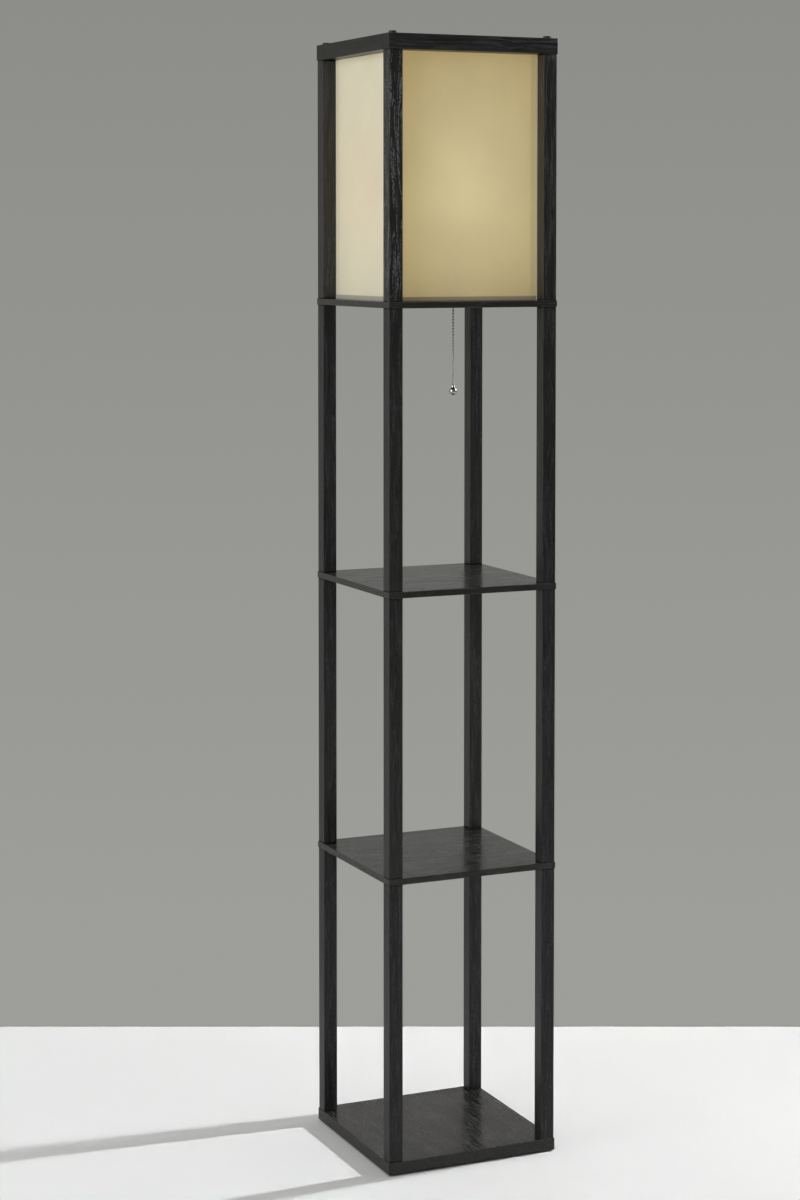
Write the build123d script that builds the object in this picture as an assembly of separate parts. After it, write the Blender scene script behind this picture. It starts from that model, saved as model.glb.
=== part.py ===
from build123d import *
import os
from math import acos, cos, radians, sin, sqrt, tan

os.makedirs("parts", exist_ok=True)

# Shelf floor lamp. Millimetres, +Z up, front towards -Y.
# The origin lies on the floor, under the middle of the tower.

# --- Tower: boards, posts and top frame ---------------------------------------
tower_width = 260.0
base_thickness = 17.0
shelf_thickness = 9.0
bay_height = 392.0
shade_bay_height = 346.0
post_width = 20.5
post_inset = 1.0
rail_height = 22.0
rail_width = 22.5
edge_ease = 0.8

# --- Hardware of the tower ----------------------------------------------------
glide_height = 2.0
glide_diameter = 20.0
glide_pin_diameter = 5.0
glide_pin_length = 9.0
glide_reach = 92.0
bolt_diameter = 6.0
bolt_reach_in_post = 13.0
bolt_head_diameter = 12.0
top_bolt_head_height = 3.3
base_bolt_head_height = 3.6
base_bolt_head_recess = 1.0
hex_key_across = 4.0
hex_key_depth = 2.0
insert_diameter = 9.0
insert_length = 14.0
post_bore_depth = 18.0
dowel_diameter = 5.0
dowel_in_long_rail = 11.0
dowel_in_short_rail = 15.0
dowel_offset = 6.3

# --- Shade box ----------------------------------------------------------------
panel_thickness = 1.0
panel_lift = 1.0
strip_width = 9.0
batten_height = 6.0

# --- Lamp pipe and socket -----------------------------------------------------
pipe_diameter = 10.0
pipe_bore = 7.4
pipe_below_nut = 0.6
washer_diameter = 20.0
washer_thickness = 1.2
pipe_nut_across = 14.0
top_nut_height = 5.0
bottom_nut_height = 2.4
nut_chamfer = 0.5
bushing_flange_diameter = 11.2
bushing_flange_height = 1.0
bushing_bore = 5.8
bushing_sleeve_length = 6.0
hub_diameter = 16.0
hub_height = 6.0
cap_diameter = 36.2
cap_wall = 1.0
cap_floor = 1.2
cap_height = 24.0
cap_shoulder = 4.5
shell_wall = 0.7
shell_height = 45.0
shell_start = 18.0
liner_wall = 0.6
liner_setback = 1.0
switch_body_height = 32.6
screw_shell_wall = 0.6
screw_shell_height = 28.0
screw_shell_lip = 1.5
contact_width = 6.0
contact_length = 11.0
contact_thickness = 0.6
contact_rise = 2.3

# --- Switch lever and its guide -----------------------------------------------
chain_offset = 28.9
lever_pivot_offset = 9.0
lever_pin_diameter = 2.0
lever_hub_diameter = 6.0
lever_width = 5.0
lever_thickness = 1.2
lever_tip = 2.5
lever_corner = 1.2
lever_swing = 11.0
lever_play = 0.9
fork_slot = 1.6
guide_bore = 7.4
guide_wall = 1.0
guide_flare = 1.5
guide_flare_height = 4.0
guide_drop = 11.0
guide_neck_height = 12.0
guide_neck_start = 9.0

# --- Bead chain ---------------------------------------------------------------
bead_diameter = 3.2
bead_pitch = 4.4
link_diameter = 0.9
upper_beads = 9
drop_beads = 25
ball_diameter = 12.0
coupling_diameter = 4.6
coupling_height = 2.85
coupling_shoulder = 1.4
coupling_mouth = 3.2
grommet_bore = 5.0
grommet_neck_diameter = 8.8
grommet_flange_diameter = 13.0
grommet_flange_height = 1.2
knuckle_drop = 2.0

# --- Bulb ---------------------------------------------------------------------
bulb_length = 110.0
globe_diameter = 60.0
globe_wall = 0.8
neck_diameter = 25.0
neck_sweep = 35.0
bulb_cap_diameter = 26.4
bulb_cap_wall = 0.4
bulb_cap_height = 25.0
bulb_cap_taper = 2.2
bulb_cap_grip = 4.4
bulb_insulator_height = 2.2
bulb_insulator_diameter = 17.6
bulb_contact_height = 0.6
bulb_contact_diameter = 9.0

# --- Clearances ---------------------------------------------------------------
running_gap = 0.05
seat_gap = 0.3

# --- Levels and places worked out from the sizes ------------------------------
base_top = glide_height + base_thickness
lower_shelf_bottom = base_top + bay_height
middle_shelf_bottom = lower_shelf_bottom + shelf_thickness + bay_height
lamp_shelf_bottom = middle_shelf_bottom + shelf_thickness + bay_height
lamp_shelf_top = lamp_shelf_bottom + shelf_thickness
frame_bottom = lamp_shelf_top + shade_bay_height
frame_top = frame_bottom + rail_height

half_width = tower_width / 2
post_reach = half_width - post_inset - post_width / 2
post_inner_plane = post_reach - post_width / 2
bolt_hole = bolt_diameter + 2 * seat_gap
threaded_bore = bolt_diameter + 2 * running_gap

corners = {
    "front_left": (-1, -1),
    "front_right": (1, -1),
    "back_right": (1, 1),
    "back_left": (-1, 1),
}
tiers = {
    "lower_post": (base_top, bay_height),
    "middle_post": (lower_shelf_bottom + shelf_thickness, bay_height),
    "upper_post": (middle_shelf_bottom + shelf_thickness, bay_height),
    "shade_post": (lamp_shelf_top, shade_bay_height),
}


# --- Small tools for the shapes -----------------------------------------------
def post_places():
    return [(sx * post_reach, sy * post_reach) for sx, sy in corners.values()]


def rod(diameter, bottom, top, place=(0.0, 0.0)):
    """A round bar standing between two levels."""
    bar = Cylinder(diameter / 2, top - bottom, align=(Align.CENTER, Align.CENTER, Align.MIN))
    return Pos(place[0], place[1], bottom) * bar


def bar(x_span, y_span, z_span):
    """A square-edged bar that fills three spans."""
    size = [span[1] - span[0] for span in (x_span, y_span, z_span)]
    middle = [(span[0] + span[1]) / 2 for span in (x_span, y_span, z_span)]
    return Pos(*middle) * Box(*size)


def turned(points, place=(0.0, 0.0)):
    """A piece turned about a standing axis, from its half section of (radius, level) points."""
    section = make_face(Plane.XZ * Polyline(*points, close=True))
    return Pos(place[0], place[1], 0) * revolve(section, Axis.Z)


def turned_from(lines, place=(0.0, 0.0)):
    """The same, from a half section drawn with lines and arcs."""
    section = make_face(Plane.XZ * Curve(children=[*lines]))
    return Pos(place[0], place[1], 0) * revolve(section, Axis.Z)


def hexagon(across, bottom, top, place=(0.0, 0.0)):
    """A six-sided bar, measured across its flats."""
    outline = RegularPolygon(across / 2, 6, major_radius=False)
    return Pos(place[0], place[1], bottom) * extrude(outline, top - bottom)


def group(solids):
    return Compound(children=list(solids))


# --- Boards -------------------------------------------------------------------
def board(bottom, thickness):
    """A square board with all edges eased, bored at the corners for the bolts of the posts."""
    span = (-half_width, half_width)
    plate = fillet(bar(span, span, (bottom, bottom + thickness)).edges(), edge_ease)
    for place in post_places():
        plate -= rod(bolt_hole, bottom, bottom + thickness, place)
    return plate


def glide_places():
    return [(sx * glide_reach, sy * glide_reach) for sx, sy in corners.values()]


def base_bolt_seat():
    return glide_height + base_bolt_head_height + base_bolt_head_recess


def base_board():
    plate = board(glide_height, base_thickness)
    for place in post_places():
        plate -= rod(bolt_head_diameter + 2 * seat_gap, glide_height, base_bolt_seat(), place)
    for place in glide_places():
        pin_hole = glide_pin_diameter + 2 * running_gap
        plate -= rod(pin_hole, glide_height, glide_height + glide_pin_length + seat_gap, place)
    return plate


def chain_place():
    return (chain_offset, 0.0)


def pipe_seat():
    """The level under the lamp shelf where the lower washer presses, up in its recess."""
    return lamp_shelf_bottom + bottom_nut_height + washer_thickness


def lamp_shelf():
    """It also has the pipe's hole, a recess under it for washer and nut, and the chain's hole."""
    plate = board(lamp_shelf_bottom, shelf_thickness)
    plate -= rod(pipe_diameter + 2 * seat_gap, lamp_shelf_bottom, lamp_shelf_top)
    plate -= rod(washer_diameter + 2 * seat_gap, lamp_shelf_bottom, pipe_seat())
    grommet_hole = grommet_neck_diameter + 2 * running_gap
    plate -= rod(grommet_hole, lamp_shelf_bottom, lamp_shelf_top, chain_place())
    return plate


# --- Posts and what holds them ------------------------------------------------
def post(place, bottom, length):
    """A square post, eased along its length, bored at both ends for its threaded inserts."""
    half = post_width / 2
    x, y = place
    stick = bar((x - half, x + half), (y - half, y + half), (bottom, bottom + length))
    stick = fillet(stick.edges().filter_by(Axis.Z), edge_ease)
    bore = insert_diameter + 2 * running_gap
    stick -= rod(bore, bottom, bottom + post_bore_depth, place)
    stick -= rod(bore, bottom + length - post_bore_depth, bottom + length, place)
    return stick


def insert(bottom, place):
    sleeve = rod(insert_diameter, bottom, bottom + insert_length, place)
    return sleeve - rod(threaded_bore, bottom, bottom + insert_length, place)


def post_inserts():
    sleeves = []
    for bottom, length in tiers.values():
        for place in post_places():
            sleeves.append(insert(bottom, place))
            sleeves.append(insert(bottom + length - insert_length, place))
    return group(sleeves)


def joining_studs():
    """Headless studs: through each shelf, from the post below it into the post above it."""
    studs = []
    for bottom in (lower_shelf_bottom, middle_shelf_bottom, lamp_shelf_bottom):
        for place in post_places():
            low = bottom - bolt_reach_in_post
            high = bottom + shelf_thickness + bolt_reach_in_post
            stud = rod(bolt_diameter, low, high, place)
            studs.append(chamfer(stud.edges().filter_by(GeomType.CIRCLE), edge_ease))
    return group(studs)


def base_bolt(place):
    """Enters from under the base, its head sunk in the board."""
    seat = base_bolt_seat()
    head_bottom = seat - base_bolt_head_height
    bolt = rod(bolt_head_diameter, head_bottom, seat, place)
    bolt += rod(bolt_diameter, seat, base_top + bolt_reach_in_post, place)
    return bolt - hexagon(hex_key_across, head_bottom, head_bottom + hex_key_depth, place)


def top_bolt(place):
    """Its flat round head stands on the top frame, over the post."""
    head_top = frame_top + top_bolt_head_height
    head = rod(bolt_head_diameter, frame_top, head_top, place)
    rim = head.edges().group_by(Axis.Z)[-1]
    bolt = fillet(rim, edge_ease)
    bolt += rod(bolt_diameter, frame_bottom - bolt_reach_in_post, frame_top, place)
    return bolt - hexagon(hex_key_across, head_top - hex_key_depth, head_top, place)


def foot_glide(place):
    radius = glide_diameter / 2
    pin = glide_pin_diameter / 2
    pad = [(0, 0), (radius - edge_ease, 0), (radius, edge_ease), (radius, glide_height)]
    spike = [(pin, glide_height), (pin, glide_height + glide_pin_length - pin)]
    tip = [(0, glide_height + glide_pin_length)]
    return turned(pad + spike + tip, place)


# --- Top frame ----------------------------------------------------------------
def dowel_places():
    return [sign * post_reach + side * dowel_offset for sign in (-1, 1) for side in (-1, 1)]


def dowel(x, side, diameter, extra):
    """A dowel, or with extra its hole, across the joint of a long and a short rail."""
    joint = half_width - rail_width
    length = dowel_in_long_rail + dowel_in_short_rail + 2 * extra
    middle = joint + (dowel_in_long_rail - dowel_in_short_rail) / 2
    level = frame_bottom + rail_height / 2
    return Pos(x, side * middle, level) * Rot(90, 0, 0) * Cylinder(diameter / 2, length)


def long_rail(side):
    """Front or back rail: it runs the whole width and takes the bolts."""
    inner = half_width - rail_width
    y_span = sorted((side * inner, side * half_width))
    rail = bar((-half_width, half_width), y_span, (frame_bottom, frame_top))
    rail = fillet(rail.edges(), edge_ease)
    for sign in (-1, 1):
        rail -= rod(bolt_hole, frame_bottom, frame_top, (sign * post_reach, side * post_reach))
    for x in dowel_places():
        rail -= dowel(x, side, dowel_diameter + 2 * running_gap, seat_gap)
    return rail


def short_rail(side):
    """Left or right rail: it fits between the long ones."""
    inner = half_width - rail_width
    x_span = sorted((side * inner, side * half_width))
    rail = bar(x_span, (-inner, inner), (frame_bottom, frame_top))
    rail = fillet(rail.edges().filter_by(Axis.Y), edge_ease)
    for x in dowel_places():
        if x * side > 0:
            for end in (-1, 1):
                rail -= dowel(x, end, dowel_diameter + 2 * running_gap, seat_gap)
    return rail


def frame_dowels():
    return group(dowel(x, side, dowel_diameter, 0.0) for side in (-1, 1) for x in dowel_places())


# --- Shade box ----------------------------------------------------------------
shade_reach = post_inner_plane - seat_gap
shade_bottom = lamp_shelf_top
shade_top = frame_bottom - seat_gap
panel_inner = shade_reach - panel_thickness
strip_inner = panel_inner - strip_width


def shade_panel(name):
    """A translucent sheet; the front and back ones cover the edges of the side ones."""
    side = -1 if name in ("front", "left") else 1
    across = sorted((side * panel_inner, side * shade_reach))
    levels = (shade_bottom + panel_lift, shade_top)
    if name in ("front", "back"):
        return bar((-shade_reach, shade_reach), across, levels)
    return bar(across, (-panel_inner, panel_inner), levels)


def shade_corner_strips():
    strips = []
    for sx, sy in corners.values():
        x_span = sorted((sx * strip_inner, sx * panel_inner))
        y_span = sorted((sy * strip_inner, sy * panel_inner))
        strips.append(bar(x_span, y_span, (shade_bottom, shade_top)))
    return group(strips)


def shade_battens(bottom):
    """Four battens in a ring, between the corner strips."""
    levels = (bottom, bottom + batten_height)
    long_span = (-strip_inner, strip_inner)
    battens = []
    for side in (-1, 1):
        across = sorted((side * strip_inner, side * panel_inner))
        battens.append(bar(long_span, across, levels))
        battens.append(bar(across, long_span, levels))
    return group(battens)


# --- Lamp pipe, nuts and bushing ----------------------------------------------
hub_bottom = lamp_shelf_top + washer_thickness + top_nut_height
cap_bottom = hub_bottom + hub_height
cap_inside = cap_bottom + cap_floor
pipe_bottom = lamp_shelf_bottom - pipe_below_nut


def lamp_pipe():
    """A hollow threaded pipe through the shelf; the supply lead comes up through its bore."""
    top = cap_inside - seat_gap
    outer = pipe_diameter / 2
    bore = pipe_bore / 2
    lead = (outer - bore) / 3
    return turned([
        (bore, pipe_bottom), (outer - lead, pipe_bottom), (outer, pipe_bottom + lead),
        (outer, top - lead), (outer - lead, top), (bore, top),
    ])


def washer(bottom):
    disc = rod(washer_diameter, bottom, bottom + washer_thickness)
    return disc - rod(pipe_diameter + 2 * running_gap, bottom, bottom + washer_thickness)


def pipe_washers():
    return group([washer(lamp_shelf_top), washer(pipe_seat() - washer_thickness)])


def pipe_nut(bottom, height):
    """A hexagon nut whose corners are turned off at both faces."""
    top = bottom + height
    corner = pipe_nut_across / 2 / cos(radians(30))
    turned_off = chamfer(
        rod(2 * corner, bottom, top).edges().filter_by(GeomType.CIRCLE),
        nut_chamfer, corner - pipe_nut_across / 2,
    )
    nut = hexagon(pipe_nut_across, bottom, top) & turned_off
    return nut - rod(pipe_diameter + 2 * running_gap, bottom, top)


def pipe_nuts():
    upper = lamp_shelf_top + washer_thickness
    return group([
        pipe_nut(upper, top_nut_height), pipe_nut(lamp_shelf_bottom, bottom_nut_height)
    ])


def cord_bushing():
    """A plastic collar in the lower end of the pipe, so that its rim can't cut the lead."""
    flange = bushing_flange_diameter / 2
    sleeve = pipe_bore / 2 - running_gap
    bore = bushing_bore / 2
    low = pipe_bottom - bushing_flange_height
    high = pipe_bottom + bushing_sleeve_length
    lip = bushing_flange_height / 2
    return turned([
        (bore + lip, low), (flange - lip, low), (flange, low + lip), (flange, pipe_bottom),
        (sleeve, pipe_bottom), (sleeve, high), (bore, high), (bore, low + lip),
    ])


# --- Socket -------------------------------------------------------------------
cap_inner_radius = cap_diameter / 2 - cap_wall
shell_radius = cap_inner_radius - 2 * running_gap
liner_radius = shell_radius - shell_wall - 4 * running_gap
switch_radius = liner_radius - liner_wall - 2 * running_gap
shell_bottom = cap_bottom + shell_start
shell_top = shell_bottom + shell_height
switch_top = cap_inside + switch_body_height
screw_radius = bulb_cap_diameter / 2 + seat_gap

lever_arm = chain_offset - lever_pivot_offset
chain_travel = 2 * lever_arm * tan(radians(lever_swing))
knuckle_level = lamp_shelf_bottom - grommet_flange_height - knuckle_drop
top_bead_level = knuckle_level + upper_beads * bead_pitch
fork_gap = bead_diameter / 2 + seat_gap / 2
fork_rise = lever_arm * tan(radians(lever_swing)) + lever_thickness / 2
lever_pivot_level = top_bead_level - fork_gap - fork_rise
lever_slot = lever_width + 2 * seat_gap


def lever_window(x_low, x_high):
    """The room that the lever sweeps, from its pivot out to the chain."""
    spread = lever_hub_diameter / 2 + lever_play
    levels = (lever_pivot_level - spread, lever_pivot_level + spread)
    return bar((x_low, x_high), (-lever_slot / 2, lever_slot / 2), levels)


def socket_cap():
    """A spun metal cup, screwed on the pipe by its hub, with a window for the lever."""
    outer = cap_diameter / 2
    hub = hub_diameter / 2
    bore = pipe_diameter / 2 + running_gap
    rim = cap_bottom + cap_height
    inner_corner = cap_shoulder - cap_wall
    bend = sqrt(0.5)
    sweep = [
        Line((bore, hub_bottom), (hub, hub_bottom)),
        Line((hub, hub_bottom), (hub, cap_bottom)),
        Line((hub, cap_bottom), (outer - cap_shoulder, cap_bottom)),
        ThreePointArc(
            (outer - cap_shoulder, cap_bottom),
            (outer - cap_shoulder + bend * cap_shoulder, cap_bottom + (1 - bend) * cap_shoulder),
            (outer, cap_bottom + cap_shoulder),
        ),
        Line((outer, cap_bottom + cap_shoulder), (outer, rim)),
        Line((outer, rim), (cap_inner_radius, rim)),
        Line((cap_inner_radius, rim), (cap_inner_radius, cap_inside + inner_corner)),
        Line(
            (cap_inner_radius, cap_inside + inner_corner),
            (cap_inner_radius - inner_corner, cap_inside),
        ),
        Line((cap_inner_radius - inner_corner, cap_inside), (bore, cap_inside)),
        Line((bore, cap_inside), (bore, hub_bottom)),
    ]
    return turned_from(sweep) - lever_window(lever_pivot_offset, outer + cap_wall)


def socket_shell():
    """A thin metal tube, its lower end inside the cap and its upper rim rolled out."""
    inner = shell_radius - shell_wall
    roll = shell_wall
    return turned([
        (inner, shell_bottom), (shell_radius, shell_bottom), (shell_radius, shell_top - 3 * roll),
        (shell_radius + roll, shell_top - 2 * roll), (shell_radius + roll, shell_top - roll),
        (shell_radius, shell_top), (inner, shell_top),
    ])


def socket_liner():
    """The insulating sleeve between the metal shell and the live screw shell."""
    top = shell_top - liner_setback
    bore = rod(2 * (liner_radius - liner_wall), shell_bottom, top)
    return rod(2 * liner_radius, shell_bottom, top) - bore


def switch_body():
    """The moulded block that holds the switch, with its pocket for the lever and its pin."""
    block = rod(2 * switch_radius, cap_inside, switch_top)
    block = chamfer(block.edges().group_by(Axis.Z)[0], cap_shoulder - cap_wall)
    block -= lever_window(lever_pivot_offset - lever_hub_diameter, cap_diameter)
    return block - lever_pin(lever_pin_diameter + 2 * running_gap)


def lever_pin(diameter=lever_pin_diameter):
    pin = Rot(90, 0, 0) * Cylinder(diameter / 2, lever_slot + 2 * lever_width)
    return Pos(lever_pivot_offset, 0, lever_pivot_level) * pin


def switch_lever():
    """A stamped lever: a hub on the pin, and a fork under the top bead of the chain."""
    reach = lever_arm / sin(radians(90 - lever_swing))
    hub = Rot(90, 0, 0) * Cylinder(lever_hub_diameter / 2, lever_width)
    half = lever_thickness / 2
    arm = bar((0, reach + lever_tip), (-lever_width / 2, lever_width / 2), (-half, half))
    arm = fillet(arm.edges().filter_by(Axis.Z).group_by(Axis.X)[-1], lever_corner)
    fork = (-fork_slot / 2, fork_slot / 2)
    slot = bar((reach - fork_slot, reach + 2 * lever_tip), fork, (-half, half))
    bore = Rot(90, 0, 0) * Cylinder(lever_pin_diameter / 2 + running_gap, lever_width)
    lever = hub + arm - slot - bore
    return Pos(lever_pivot_offset, 0, lever_pivot_level) * Rot(0, -lever_swing, 0) * lever


def screw_shell():
    """The live shell that takes the bulb, standing on the switch body."""
    outer = screw_radius + screw_shell_wall
    top = switch_top + screw_shell_height
    lip = screw_radius - screw_shell_lip
    return turned([
        (lip, switch_top), (outer, switch_top), (outer, top), (screw_radius, top),
        (screw_radius, switch_top + screw_shell_wall), (lip, switch_top + screw_shell_wall),
    ])


contact_top = switch_top + contact_rise + contact_thickness


def centre_contact():
    """A springy tongue, fixed at one end and raised under the tip of the bulb."""
    fixed_end = -contact_length
    bend = -contact_width
    tip = contact_width / 2
    rise = switch_top + contact_rise
    outline = Polyline(
        (fixed_end, switch_top), (bend, switch_top), (0, rise), (tip, rise),
        (tip, rise + contact_thickness), (0, rise + contact_thickness),
        (bend, switch_top + contact_thickness), (fixed_end, switch_top + contact_thickness),
        close=True,
    )
    return extrude(make_face(Plane.XZ * outline), contact_width / 2, both=True)


def chain_guide():
    """A hollow nose on the cap: it covers the lever and ends in a bell mouth for the chain."""
    inner = guide_bore / 2
    outer = inner + guide_wall
    mouth = lever_pivot_level - guide_drop
    flare = mouth + guide_flare_height
    crown = top_bead_level + bead_diameter
    nose = turned([
        (0, mouth), (outer + guide_flare, mouth), (outer, flare), (outer, crown - outer / 2),
        (outer / 2, crown + guide_wall), (0, crown + guide_wall),
    ], chain_place())
    low = lever_pivot_level - guide_neck_height / 2
    high = lever_pivot_level + guide_neck_height / 2
    half = lever_slot / 2 + guide_wall
    nose += bar((guide_neck_start, chain_offset), (-half, half), (low, high))
    nose -= turned([
        (0, mouth), (inner + guide_flare, mouth), (inner, flare), (inner, crown - inner / 2),
        (inner / 2, crown), (0, crown),
    ], chain_place())
    hollow = (low + guide_wall, high - guide_wall)
    nose -= bar((0, chain_offset), (-lever_slot / 2, lever_slot / 2), hollow)
    return nose - rod(cap_diameter + 2 * running_gap, low, high)


# --- Bead chain, grommet and ball ---------------------------------------------
def bead_string(levels, lead=0.0, tail=0.0):
    """Beads in a straight hanging row, joined by thin links, turned as one piece.

    lead and tail lengthen the row's axis wire above the first and below the last bead.
    """
    radius = bead_diameter / 2
    wire = link_diameter / 2
    start = levels[0] + bead_waist + lead
    end = levels[-1] - bead_waist - tail
    lines = [Line((0, start), (wire, start))]
    at = start
    for level in levels:
        high = (wire, level + bead_waist)
        low = (wire, level - bead_waist)
        if at > high[1]:
            lines.append(Line((wire, at), high))
        lines.append(ThreePointArc(high, (radius, level), low))
        at = low[1]
    if at > end:
        lines.append(Line((wire, at), (wire, end)))
    lines.append(Line((wire, end), (0, end)))
    lines.append(Line((0, end), (0, start)))
    return turned_from(lines, chain_place())


bead_waist = sqrt(bead_diameter**2 / 4 - link_diameter**2 / 4)
link_reach = bead_pitch - bead_waist - bead_diameter / 2 - 2 * running_gap


def chain_upper():
    """From the lever's fork down through the grommet, to just above the knuckle bead."""
    levels = [top_bead_level - i * bead_pitch for i in range(upper_beads)]
    return bead_string(levels, 0.0, link_reach)


def chain_knuckle():
    """The bead just under the shelf, about which the rest of the chain swings."""
    return Pos(chain_offset, 0, knuckle_level) * Sphere(bead_diameter / 2)


first_drop_level = knuckle_level - bead_pitch
last_drop_level = first_drop_level - (drop_beads - 1) * bead_pitch
coupling_top = last_drop_level - bead_diameter / 2 - running_gap
ball_level = coupling_top - coupling_height - ball_diameter / 2


def chain_drop():
    levels = [first_drop_level - i * bead_pitch for i in range(drop_beads)]
    return bead_string(levels, link_reach, 0.0)


def pull_ball():
    """The round pull with its short coupling, which grips the last bead."""
    mouth = coupling_mouth / 2
    neck = coupling_diameter / 2
    shoulder = coupling_top - coupling_shoulder
    radius = ball_diameter / 2
    meet = ball_level + sqrt(radius**2 - neck**2)
    lines = [
        Line((0, coupling_top), (mouth, coupling_top)),
        Line((mouth, coupling_top), (neck, shoulder)),
        Line((neck, shoulder), (neck, meet)),
        ThreePointArc((neck, meet), (radius, ball_level), (0, ball_level - radius)),
        Line((0, ball_level - radius), (0, coupling_top)),
    ]
    return turned_from(lines, chain_place())


def chain_grommet():
    """A soft collar snapped into the shelf, rounded where the chain rubs."""
    bore = grommet_bore / 2
    neck = grommet_neck_diameter / 2
    flange = grommet_flange_diameter / 2
    low = lamp_shelf_bottom - grommet_flange_height
    high = lamp_shelf_top + grommet_flange_height
    lip = grommet_flange_height / 2
    return turned([
        (bore, low + lip), (bore + lip, low), (flange - lip, low), (flange, low + lip),
        (flange, lamp_shelf_bottom), (neck, lamp_shelf_bottom), (neck, lamp_shelf_top),
        (flange, lamp_shelf_top), (flange, high - lip), (flange - lip, high),
        (bore + lip, high), (bore, high - lip),
    ], chain_place())


# --- Bulb ---------------------------------------------------------------------
bulb_bottom = contact_top + seat_gap
bulb_cap_bottom = bulb_bottom + bulb_contact_height + bulb_insulator_height
bulb_cap_top = bulb_cap_bottom + bulb_cap_height
globe_level = bulb_bottom + bulb_length - globe_diameter / 2


def globe_outline(offset):
    """Neck, sweep and globe on one side, each arc drawn offset inside the outer glass."""
    ball = globe_diameter / 2
    neck = neck_diameter / 2
    across = neck + neck_sweep
    down = sqrt((ball + neck_sweep) ** 2 - across**2)
    sweep_level = globe_level - down
    share = (ball - offset) / (ball + neck_sweep)
    meet = (across * share, globe_level - down * share)
    foot = bulb_cap_top - bulb_cap_grip
    sweep = neck_sweep + offset
    half_turn = (radians(90) - acos(down / (ball + neck_sweep))) / 2
    middle = (across - sweep * cos(half_turn), sweep_level + sweep * sin(half_turn))
    wall = Line((neck - offset, foot), (neck - offset, sweep_level))
    bend = ThreePointArc((neck - offset, sweep_level), middle, meet)
    crown = ThreePointArc(meet, (ball - offset, globe_level), (0, globe_level + ball - offset))
    return [wall, bend, crown]


def bulb_globe():
    """The frosted glass envelope, an open-necked shell."""
    ball = globe_diameter / 2
    neck = neck_diameter / 2
    foot = bulb_cap_top - bulb_cap_grip
    outer = globe_outline(0.0)
    inner = globe_outline(globe_wall)
    crown = Line((0, globe_level + ball), (0, globe_level + ball - globe_wall))
    rim = Line((neck - globe_wall, foot), (neck, foot))
    return turned_from(outer + [crown] + inner + [rim])


def bulb_cap():
    """The thin metal screw cap round the neck of the glass."""
    outer = bulb_cap_diameter / 2
    inner = outer - bulb_cap_wall
    floor = bulb_cap_bottom + bulb_cap_wall
    opening = bulb_contact_diameter / 2
    return turned([
        (opening, bulb_cap_bottom), (outer - bulb_cap_taper, bulb_cap_bottom),
        (outer, bulb_cap_bottom + bulb_cap_taper), (outer, bulb_cap_top), (inner, bulb_cap_top),
        (inner, floor + bulb_cap_taper), (inner - bulb_cap_taper, floor), (opening, floor),
    ])


def bulb_insulator():
    """The glass button between the cap and the tip contact."""
    tip = bulb_contact_diameter / 2
    outer = bulb_insulator_diameter / 2
    low = bulb_bottom + bulb_contact_height
    return turned([(0, low), (tip, low), (outer, bulb_cap_bottom), (0, bulb_cap_bottom)])


def bulb_contact():
    tip = bulb_contact_diameter / 2
    low = bulb_bottom
    high = bulb_bottom + bulb_contact_height
    return turned([(0, low), (tip - bulb_contact_height, low), (tip, high), (0, high)])


# --- The whole lamp -----------------------------------------------------------
def all_posts():
    posts = {}
    for tier, (bottom, length) in tiers.items():
        for corner, (sx, sy) in corners.items():
            posts[f"{tier}_{corner}"] = post((sx * post_reach, sy * post_reach), bottom, length)
    return posts


pieces = {
    "base_board": base_board(),
    "lower_shelf": board(lower_shelf_bottom, shelf_thickness),
    "middle_shelf": board(middle_shelf_bottom, shelf_thickness),
    "lamp_shelf": lamp_shelf(),
    "top_rail_front": long_rail(-1),
    "top_rail_back": long_rail(1),
    "top_rail_left": short_rail(-1),
    "top_rail_right": short_rail(1),
    "frame_dowels": frame_dowels(),
    "post_inserts": post_inserts(),
    "joining_studs": joining_studs(),
    "base_bolts": group(base_bolt(place) for place in post_places()),
    "top_bolts": group(top_bolt(place) for place in post_places()),
    "foot_glides": group(foot_glide(place) for place in glide_places()),
    "shade_corner_strips": shade_corner_strips(),
    "shade_top_battens": shade_battens(shade_top - batten_height),
    "shade_bottom_battens": shade_battens(shade_bottom),
    "lamp_pipe": lamp_pipe(),
    "pipe_washers": pipe_washers(),
    "pipe_nuts": pipe_nuts(),
    "cord_bushing": cord_bushing(),
    "socket_cap": socket_cap(),
    "socket_shell": socket_shell(),
    "socket_liner": socket_liner(),
    "switch_body": switch_body(),
    "screw_shell": screw_shell(),
    "centre_contact": centre_contact(),
    "lever_pin": lever_pin(),
    "switch_lever": switch_lever(),
    "chain_guide": chain_guide(),
    "chain_grommet": chain_grommet(),
    "chain_upper": chain_upper(),
    "chain_knuckle": chain_knuckle(),
    "chain_drop": chain_drop(),
    "pull_ball": pull_ball(),
    "bulb_globe": bulb_globe(),
    "bulb_cap": bulb_cap(),
    "bulb_insulator": bulb_insulator(),
    "bulb_contact": bulb_contact(),
}
pieces.update(all_posts())
for wall in ("front", "back", "left", "right"):
    pieces[f"shade_panel_{wall}"] = shade_panel(wall)

for name, piece in pieces.items():
    export_step(piece, f"parts/{name}.step")

print("pieces", len(pieces))
print("height over the bolts", round(frame_top + top_bolt_head_height, 2))
print("chain travel", round(chain_travel, 3), "lever pivot level", round(lever_pivot_level, 3))
print("knuckle level", round(knuckle_level, 3), "ball level", round(ball_level, 3))
print("bulb top", round(globe_level + globe_diameter / 2, 2))
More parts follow.
